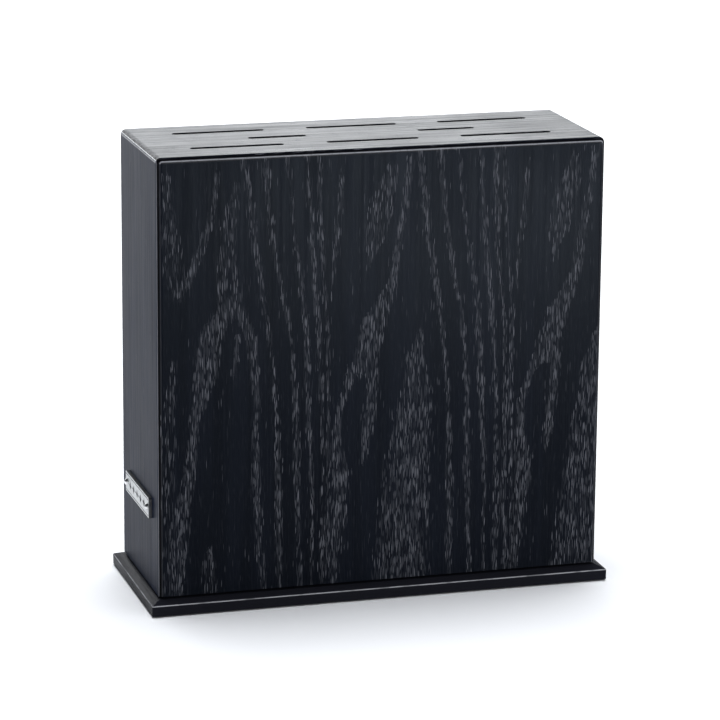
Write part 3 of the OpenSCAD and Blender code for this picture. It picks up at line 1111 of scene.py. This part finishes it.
class Core:
    """Boards and strips inside the case, seen only down the slots."""

    def build(self, nodes: dict[str, Piece]) -> None:
        """Dresses the CAD boards and strips.

        Args:
            nodes: CAD nodes by name.
        """
        wood = CoreWood().material()
        for name, piece in nodes.items():
            if name.startswith("core_board") or "_strip_" in name:
                dress(piece, wood)


def dress(piece: Piece, material: Material) -> None:
    """Puts one material in every slot of a CAD node."""
    if not piece.material_slots:
        piece.data.materials.append(material)
    for slot in piece.material_slots:
        slot.material = material
    LOG.info("%s: kept from the CAD model", piece.name)


# ---- base ----


@dataclass
class Base:
    """Chamfered base board, its screws and its foot pads."""

    overhang: float = 5.5 * MM
    edge_height: float = 6.7 * MM
    chamfer_rise: float = 2.6 * MM
    chamfer_tuck: float = 1.0 * MM
    arris: float = 0.8 * MM
    ease_radius: float = 0.5 * MM
    corner: float = 0.6 * MM
    gap_inset: float = 4.0 * MM
    screw_hole: float = 4.0 * MM
    screw_pitch: float = 98.0 * MM
    foot_recess: float = 1.0 * MM
    foot_radius: float = 9.0 * MM
    foot_edge: float = 0.35 * MM
    foot_grooves: tuple[Pair, ...] = ((0.3, 0.0), (0.34, 0.2), (0.4, 0.2), (0.44, 0.0),
                                      (0.6, 0.0), (0.64, 0.2), (0.7, 0.2), (0.74, 0.0))
    end_tilt: float = 0.2
    sink_start: float = 0.9 * MM
    sink_end: float = 2.9 * MM
    corner_steps: int = 4
    turn_points: int = 9
    foot_sides: int = 40
    hole_sides: int = 24

    def __post_init__(self) -> None:
        """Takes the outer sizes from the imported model."""
        self.slope = math.atan2(self.chamfer_rise, self.overhang + self.chamfer_tuck)
        self.turn_height = self.edge_height + self.arris * (math.tan(self.slope) - 1.0 / math.cos(self.slope))
        self.low, self.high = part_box("base_board")
        self.board_frame = FaceFrame(Face.UNDER, (0.0, 0.0, self.low.z))
        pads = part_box("foot_pads")
        reach = (pads[1].x - self.foot_radius, pads[1].y - self.foot_radius)
        self.foot_places = [(x, y) for x in (-reach[0], reach[0]) for y in (-reach[1], reach[1])]
        self.pad_height = pads[1].z - pads[0].z
        self.screw_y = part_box("base_screws")[1].y - self.screw_hole

    def profile(self) -> list[Pair]:
        """Section of the board as (reach past the case, height above its underside).

        A small round at the lower edge, the upright edge, the round arris tangent to the
        edge and to the chamfer, the chamfer, and the seat that leaves the shadow gap.
        """
        centre = (self.overhang - self.arris, self.turn_height)
        foot = [(self.overhang - inset, rise) for inset, rise in quarter_round(self.ease_radius)]
        guard = self.ease_radius / 2.0
        upright = [(self.overhang, self.ease_radius + guard), (self.overhang, centre[1] - guard)]
        turn = [(centre[0] + self.arris * math.cos(a), centre[1] + self.arris * math.sin(a))
                for a in np.linspace(0.0, math.pi / 2.0 - self.slope, self.turn_points)]
        near = (turn[-1][0] - guard, turn[-1][1] + guard * math.tan(self.slope))
        top = self.edge_height + self.chamfer_rise
        seat = self.high.z - self.low.z
        rest = [(-self.chamfer_tuck, top), (-self.gap_inset, top), (-self.gap_inset, seat)]
        return [*foot, *upright, *turn, near, *rest]

    def arris_values(self, height: np.ndarray) -> np.ndarray:
        """Strength of the pale highlight painted on the round arris: a hump 4 s (1 - s) over the share s of
        its rise.
        """
        share = np.clip((height - self.turn_height) / (self.arris * math.cos(self.slope)), 0.0, 1.0)
        return 4.0 * share * (1.0 - share)

    def board(self, along: Material, across: Material) -> None:
        """Builds the base board with its screw holes and foot recesses.

        Args:
            along: Finish with its grain along the front and the back.
            across: The same with its grain along the two ends.
        """
        half_w, half_d = self.high.x - self.overhang, self.high.y - self.overhang
        rings = [round_box((half_w + reach, half_d + reach), self.corner, self.corner_steps, height)
                 for reach, height in self.profile()]
        rows = (-self.screw_y, self.screw_y)
        screws = [(x, y) for x in (-self.screw_pitch, 0.0, self.screw_pitch) for y in rows]
        pockets = [[circle(self.foot_radius, self.foot_sides, depth, at) for depth in (0.0, self.foot_recess)]
                   for at in self.foot_places]
        sink = ((self.screw_hole, 0.0), (self.screw_hole, self.sink_start),
                (0.5 * self.screw_hole, self.sink_end))
        pockets += [[circle(radius, self.hole_sides, depth, at) for radius, depth in sink] for at in screws]
        draft = Draft()
        draft.rings(rings)
        draft.cap(rings[0], [pocket[0] for pocket in pockets])
        draft.cap(rings[-1])
        for pocket in pockets:
            draft.rings(pocket)
            draft.cap(pocket[-1])
        height = np.concatenate(draft.points)[:, 2]
        piece = draft.make("base_board_body", self.board_frame, {"arris": self.arris_values(height)})
        normals = np.empty(3 * len(piece.data.polygons), np.float32)
        piece.data.polygons.foreach_get("normal", normals)
        across_x, across_y, _ = np.abs(normals.reshape(-1, 3)).T
        ends = across_x > np.maximum(across_y, self.end_tilt)
        piece.data.polygons.foreach_set("material_index", ends.astype(np.int32))
        finish_piece(piece, "base_lacquer", [along, across], "base_board")

    def pads(self, material: Material) -> None:
        """Builds the four rubber pads, each a disc with a round lower edge and two grooves."""
        draft = Draft()
        show = self.low.z
        section = [(self.foot_radius * share, dip * MM) for share, dip in self.foot_grooves]
        section += [(self.foot_radius - inset, rise) for inset, rise in quarter_round(self.foot_edge)]
        section.append((self.foot_radius, self.pad_height))
        for at in self.foot_places:
            draft.turned([(radius, rise - show) for radius, rise in section], self.foot_sides, at)
        finish_piece(draft.make("rubber_pads", self.board_frame), "foot_rubber", [material], "foot_pads")

    def build(self, nodes: dict[str, Piece]) -> None:
        """Builds the board and the pads and dresses the screws.

        Args:
            nodes: CAD nodes by name.
        """
        # The default pale arris colour of the lacquer paints a highlight along the base board's round arris.
        along = BlackLacquer("base lacquer", (0.0105, 0.0108, 0.0145, 1.0), ior=1.062, grain=Grain.ALONG_X)
        across = replace(along, name="base lacquer on the ends", grain=Grain.ALONG_Y)
        self.board(along.material(), across.material())
        self.pads(Rubber().material())
        zinc = Metal("yellow zinc", (0.72, 0.62, 0.36, 1.0), roughness=0.3)
        dress(nodes["base_screws"], zinc.material())


# ---- badge ----


@dataclass
class Badge:
    """Etched metal plate on the left side, held by two domed pins."""

    corner: float = 1.0 * MM
    edge: float = 0.25 * MM
    rim: float = 1.1 * MM
    groove: float = 0.5 * MM
    etch: float = 0.3 * MM
    lozenges: int = 5
    lozenge_pitch: float = 9.4 * MM
    lozenge_half: Pair = (2.6 * MM, 3.0 * MM)
    dot: float = 0.75 * MM
    pin_radius: float = 2.2 * MM
    pin_dome: float = 1.9 * MM
    shank_radius: float = 0.9 * MM
    shank_length: float = 6.0 * MM
    pin_sides: int = 28
    dot_sides: int = 16
    bevel: float = 0.1 * MM
    slant: float = 0.15 * MM
    hollow: float = 0.8
    lozenge_sides: int = 32
    least_corner: float = 0.2 * MM
    corner_steps: int = 6
    dome_start: float = 0.06
    dome_steps: int = 12

    def __post_init__(self) -> None:
        """Takes the plate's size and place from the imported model."""
        low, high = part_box("badge_plate")
        self.half = ((high.y - low.y) / 2.0, (high.z - low.z) / 2.0)
        self.thick = high.x - low.x
        self.frame = FaceFrame(Face.LEFT, (low.x, 0.0, (low.z + high.z) / 2.0))
        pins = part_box("badge_pins")
        self.pin_y = pins[1].y - self.pin_radius

    def box(self, inset: float, depth: float) -> np.ndarray:
        """Outline of the plate less an inset, at a depth."""
        half = (self.half[0] - inset, self.half[1] - inset)
        return round_box(half, max(self.corner - inset, self.least_corner), self.corner_steps, depth)

    def lozenge(self, middle: float, shrink: float, depth: float) -> np.ndarray:
        """Four-cornered mark with hollow sides, |x / a|^h + |y / b|^h = 1.

        Args:
            middle: Place of its centre along the plate.
            shrink: Distance its edge is drawn in.
            depth: Depth of the loop.

        Returns:
            (lozenge_sides, 3) points.
        """
        turn = np.linspace(0.0, 2.0 * math.pi, self.lozenge_sides, endpoint=False)
        power = 2.0 / self.hollow
        x = np.sign(np.cos(turn)) * np.abs(np.cos(turn)) ** power
        y = np.sign(np.sin(turn)) * np.abs(np.sin(turn)) ** power
        half = np.array(self.lozenge_half) - shrink
        return with_depth(np.stack([middle + x * half[0], y * half[1]], -1), depth)

    def plate(self, steel: Material, dark: Material) -> None:
        """Builds the plate: round edges, a border groove and a row of etched marks; its outer edges and back
        take the dark etched metal as painted shade.
        """
        edge = [self.box(inset, depth) for inset, depth in quarter_round(self.edge, 4)]
        inner = self.rim + self.groove
        field_ring = self.box(inner, 0.0)
        places = (np.arange(self.lozenges) - (self.lozenges - 1) / 2.0) * self.lozenge_pitch
        marks = [[self.lozenge(x, 0.0, 0.0), self.lozenge(x, self.slant, self.etch)] for x in places]
        dots = (places[1:] + places[:-1]) / 2.0
        sections = ((self.dot, 0.0), (0.8 * self.dot, self.etch))
        marks += [[circle(radius, self.dot_sides, depth, (x, 0.0)) for radius, depth in sections]
                  for x in dots]
        draft = Draft()
        draft.cap(field_ring, [mark[0] for mark in marks])
        for mark in marks:
            draft.rings(mark, slot=1)
            draft.cap(mark[-1], slot=1)
        draft.rings([field_ring, self.box(inner - self.bevel, self.etch),
                     self.box(self.rim + self.bevel, self.etch), self.box(self.rim, 0.0)], slot=1)
        back = self.box(0.0, self.thick)
        draft.rings([self.box(self.rim, 0.0), edge[0]])
        # The edges and back are dark etched metal: painted shade.
        draft.rings([*edge, back], slot=1)
        draft.cap(back, slot=1)
        finish_piece(draft.make("badge_plate_body", self.frame), "badge_metal", [steel, dark], "badge_plate")

    def pins(self, material: Material) -> None:
        """Builds the two pins' heads, each a cap of a ball, on a short shank."""
        ball = (self.pin_radius ** 2 + self.pin_dome ** 2) / (2.0 * self.pin_dome)
        tilts = np.linspace(self.dome_start, math.asin(self.pin_radius / ball), self.dome_steps)
        section = [(ball * math.sin(a), ball * (1.0 - math.cos(a)) - self.pin_dome) for a in tilts]
        section += [(self.shank_radius, 0.0), (self.shank_radius, self.thick + self.shank_length)]
        draft = Draft()
        for middle in (-self.pin_y, self.pin_y):
            draft.turned(section, self.pin_sides, (middle, 0.0))
        finish_piece(draft.make("badge_pin_heads", self.frame), "pin_metal", [material], "badge_pins")

    def build(self) -> None:
        """Builds and dresses the badge."""
        steel = Metal("brushed badge steel", (0.5, 0.51, 0.51, 1.0), roughness=0.32,
                      brushed=(4000.0, 90.0, 4000.0))
        etched = Metal("etched steel, also painted edge shade", (0.1, 0.1, 0.105, 1.0), roughness=0.42)
        polished = Metal("polished pin", (0.8, 0.8, 0.8, 1.0), roughness=0.34, scratch=0.05)
        self.plate(steel.material(), etched.material())
        self.pins(polished.material())


# ---- studio ----


@dataclass(frozen=True)
class Softbox:
    """An area light that faces the block and shows only in its gloss and on its faces.

    It has a place for its middle, a width and height, and the brightness of its surface;
    its power is pi * area * radiance.
    """

    name: str
    place: Triple
    size: Pair
    radiance: float
    colour: Triple = (0.96, 0.98, 1.0)
    aim: Triple = (0.0, 0.0, 0.12)

    def build(self) -> None:
        """Stands the light in the scene."""
        data = bpy.data.lights.new(self.name, "AREA")
        data.shape, data.size, data.size_y = "RECTANGLE", *self.size
        data.energy = math.pi * self.size[0] * self.size[1] * self.radiance
        data.color = self.colour
        light = bpy.data.objects.new(self.name, data)
        aim = (Vector(self.aim) - Vector(self.place)).to_track_quat("-Z", "Y")
        light.matrix_world = Matrix.Translation(self.place) @ aim.to_matrix().to_4x4()
        light.visible_camera = False
        bpy.context.scene.collection.objects.link(light)


@dataclass
class Studio:
    """Pale floor, soft lights and the camera."""

    azimuth: float = -16.331
    elevation: float = 14.43
    roll: float = 0.467
    distance: float = 2.2013
    lens: float = 177.57
    aim_height: float = 0.138
    sensor: float = 36.0
    view_end: float = 60.0
    floor_half: float = 9.0
    sky_towards: Triple = (0.03, 0.14, 0.99)
    sky_strength: float = 4.3
    sky_spread: float = 46.0
    sky_colour: Triple = (0.95, 0.975, 1.02)
    boxes: tuple[Softbox, ...] = (
        Softbox("back box", (0.35, 2.5, 0.82), (1.6, 1.1), 4.15),
        Softbox("back left box", (-0.8, 2.5, 0.9), (0.7, 0.9), 4.2),
        Softbox("low front box", (0.36, -0.85, 0.07), (0.64, 0.14), 8.3),
        Softbox("front band", (0.3, -3.2, 0.95), (4.5, 0.7), 1.2),
    )

    def camera(self) -> None:
        """Places the camera on a ball round the aim point: turned, tipped and rolled."""
        turn = (Matrix.Rotation(math.radians(self.azimuth), 4, "Z")
                @ Matrix.Rotation(math.radians(90.0 - self.elevation), 4, "X")
                @ Matrix.Rotation(math.radians(self.roll), 4, "Z"))
        data = bpy.data.cameras.new("camera")
        data.lens, data.sensor_width, data.clip_end = self.lens, self.sensor, self.view_end
        camera = bpy.data.objects.new("camera", data)
        back = turn.to_3x3() @ Vector((0.0, 0.0, 1.0))
        place = Vector((0.0, 0.0, self.aim_height)) + back * self.distance
        camera.matrix_world = Matrix.Translation(place) @ turn
        bpy.context.scene.collection.objects.link(camera)
        bpy.context.scene.camera = camera

    def floor(self) -> None:
        """Lays a pale, faintly mottled sheet under the block."""
        half = self.floor_half
        mesh = bpy.data.meshes.new("floor")
        mesh.from_pydata([(-half, -half, 0.0), (half, -half, 0.0), (half, half, 0.0), (-half, half, 0.0)], [],
                         [(0, 1, 2, 3)])
        floor = bpy.data.objects.new("floor", mesh)
        mesh.materials.append(Paper().material())
        bpy.context.scene.collection.objects.link(floor)

    def world(self) -> None:
        """Soft room light: fair near the horizon and dark overhead, by the height of the ray."""
        world = bpy.data.worlds.new("soft room")
        bpy.context.scene.world = world
        world.use_nodes = True
        n = Nodes(world.node_tree)
        ray = n.add("TexCoord").outputs["Generated"]
        ramp = n.add("ValToRGB", Fac=n.add("SeparateXYZ", Vector=ray).outputs["Z"])
        stops = ramp.color_ramp.elements
        stops[0].position, stops[0].color = 0.0, (0.9, 0.97, 1.08, 1.0)
        stops[1].position, stops[1].color = 0.6, (0.03, 0.03, 0.035, 1.0)
        for place, level in ((0.2, 0.75), (0.36, 0.3)):
            stops.new(place).color = (0.9 * level, 0.97 * level, 1.08 * level, 1.0)
        n.feed(world.node_tree.nodes["Background"], Color=ramp.outputs["Color"], Strength=0.3)

    def sky(self) -> None:
        """Adds the even overhead light, as from a very large diffuser, kept out of reflections."""
        data = bpy.data.lights.new("overhead", "SUN")
        data.energy, data.angle = self.sky_strength, math.radians(self.sky_spread)
        data.color = self.sky_colour
        light = bpy.data.objects.new("overhead", data)
        light.matrix_world = Vector(self.sky_towards).to_track_quat("Z", "Y").to_matrix().to_4x4()
        light.visible_glossy = False
        bpy.context.scene.collection.objects.link(light)

    def build(self) -> None:
        """Sets up the camera, the floor and the lights."""
        self.camera()
        self.floor()
        self.world()
        self.sky()
        for box in self.boxes:
            box.build()
        bpy.context.scene.view_settings.view_transform = "Standard"


def main() -> None:
    """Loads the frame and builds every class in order."""
    logging.basicConfig(level=logging.INFO, format="%(message)s")
    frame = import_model()
    Studio().build()
    Case().build()
    Core().build(frame["nodes"])
    Base().build(frame["nodes"])
    Badge().build()


if __name__ == "__main__":
    main()
